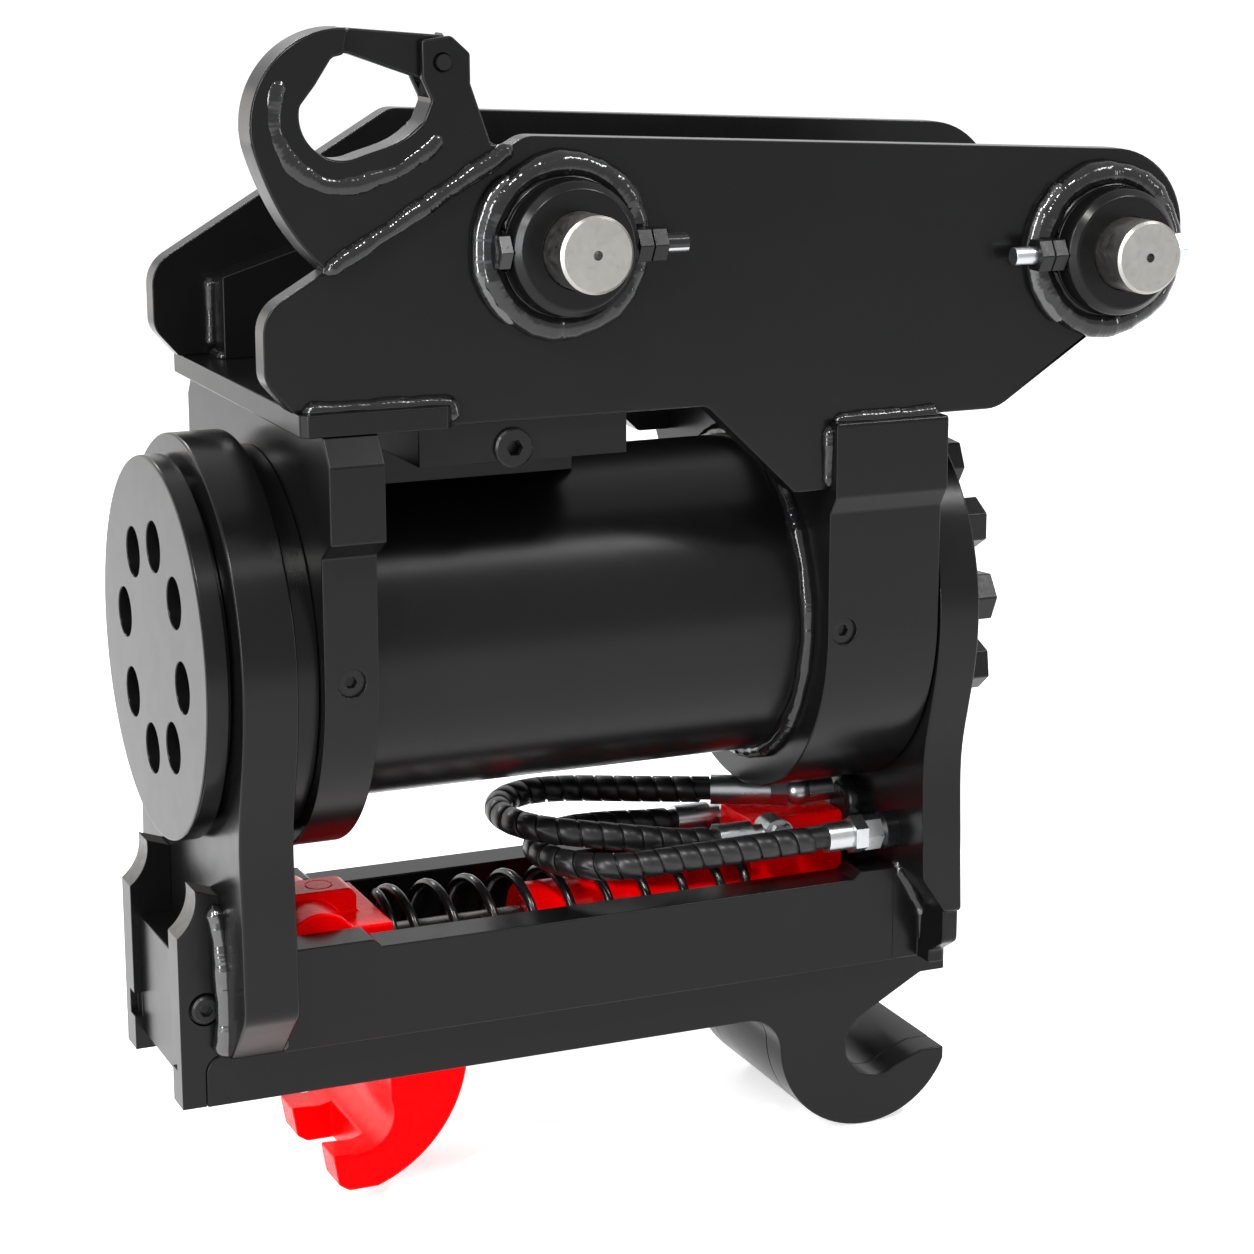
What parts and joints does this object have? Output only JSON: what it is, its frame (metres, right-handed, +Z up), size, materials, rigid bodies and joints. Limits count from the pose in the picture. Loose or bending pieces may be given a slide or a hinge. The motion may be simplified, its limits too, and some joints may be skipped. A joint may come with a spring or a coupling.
{
  "type": "tilting quick coupler",
  "caption": "Excavator tilting quick coupler: rotary actuator between pin-on cheeks and a tilting frame with a fixed jaw, a hydraulic locking hook and a lifting hook.",
  "frame": {"origin": "centre of the arm pin, at mid width on its axis", "axes": "+X along the tilt axis from the end disc towards the fixed jaw, +Y along the pins towards the far side from the port block, +Z up, from the bucket jaws to the machine's pins"},
  "size_m": [0.579, 0.324, 0.654],
  "materials": {
    "black_paint": "satin black paint over welded steel",
    "black_machined": "thin satin black paint over turned steel",
    "red_paint": "gloss red paint",
    "pin_steel": "ground steel, slightly dull",
    "zinc": "bright zinc plate",
    "black_steel": "black oxide",
    "bare_steel": "machined bare steel",
    "bronze": "bearing bronze",
    "spring_black": "black coated spring wire",
    "hose_black": "black rubber under a spiral guard"
  },
  "bodies": {
    "head": {"cheek_near": "black_paint", "cheek_far": "black_paint", "base_plate": "black_paint", "inner_ribs": "black_paint", "link_pin_bosses": "black_paint", "arm_pin_bosses": "black_paint", "link_pin": "pin_steel", "arm_pin": "pin_steel", "retaining_bolts": "zinc", "retaining_nuts": "black_steel", "housing_tube": "black_machined", "left_flange": "black_machined", "right_flange": "black_machined", "thrust_ring": "black_machined", "shaft_bushes": "bronze", "ring_gear": "bare_steel", "port_block": "black_paint", "port_plug": "black_steel", "grease_plugs": "black_steel", "lifting_hook": "black_paint", "latch_pin": "black_steel"},
    "tilt_frame": {"end_disc": "black_machined", "end_disc_screws": "black_steel", "output_shaft": "bare_steel", "left_leg": "black_paint", "right_leg": "black_paint", "drive_hub": "bare_steel", "leg_bolts": "black_steel", "rail_near": "black_paint", "rail_far": "black_paint", "hook_plate_near": "black_paint", "hook_plate_far": "black_paint", "jaw_block": "black_paint", "fork_plates": "black_machined", "fork_spacer": "black_machined", "fork_screws": "black_steel", "cylinder_barrel": "red_paint", "cylinder_gland": "red_paint", "cylinder_block": "red_paint", "return_spring": "spring_black", "elbow_boss": "black_steel", "elbow_fitting": "zinc", "bulkhead_nut": "black_steel", "union_fitting": "zinc", "near_banjo": "zinc", "far_banjo": "zinc", "banjo_bolts": "zinc", "elbow_hose": "hose_black", "union_hose": "hose_black"},
    "hook": {"locking_hook": "red_paint", "cylinder_rod": "bare_steel", "rod_pin": "bare_steel"},
    "latch": {"safety_latch": "black_paint"},
    "piston_carrier": {"piston_wear_ring": "bronze"},
    "piston": {"piston_sleeve": "bare_steel"}
  },
  "joints": [
    {"name": "tilt", "type": "hinge", "parent": "head", "child": "tilt_frame", "pos_m": [-0.3, 0, -0.204], "axis": [1, 0, 0], "range_deg": [-90, 90]},
    {"name": "hook_slide", "type": "slide", "parent": "tilt_frame", "child": "hook", "axis": [1, 0, 0], "range_m": [0, 0.088], "stiffness_N_per_m": 2500, "springref_m": -0.12, "deforming": ["return_spring"]},
    {"name": "latch", "type": "hinge", "parent": "head", "child": "latch", "pos_m": [-0.39099, -0.106, 0.11199], "axis": [0, -1, 0], "range_deg": [0, 28], "stiffness_Nm_per_rad": 0.2, "springref_deg": -34.38},
    {"name": "piston_slide", "type": "slide", "parent": "head", "child": "piston_carrier", "axis": [1, 0, 0], "range_m": [-0.0455, 0.0455]},
    {"name": "piston_turn", "type": "hinge", "parent": "piston_carrier", "child": "piston", "pos_m": [-0.3, 0, -0.204], "axis": [1, 0, 0], "range_deg": [-45.5, 45.5]}
  ],
  "couplings": [
    {"joint": "piston_slide", "follows": "tilt", "m_per_rad": 0.028648},
    {"joint": "piston_turn", "follows": "tilt", "ratio": 0.5}
  ]
}
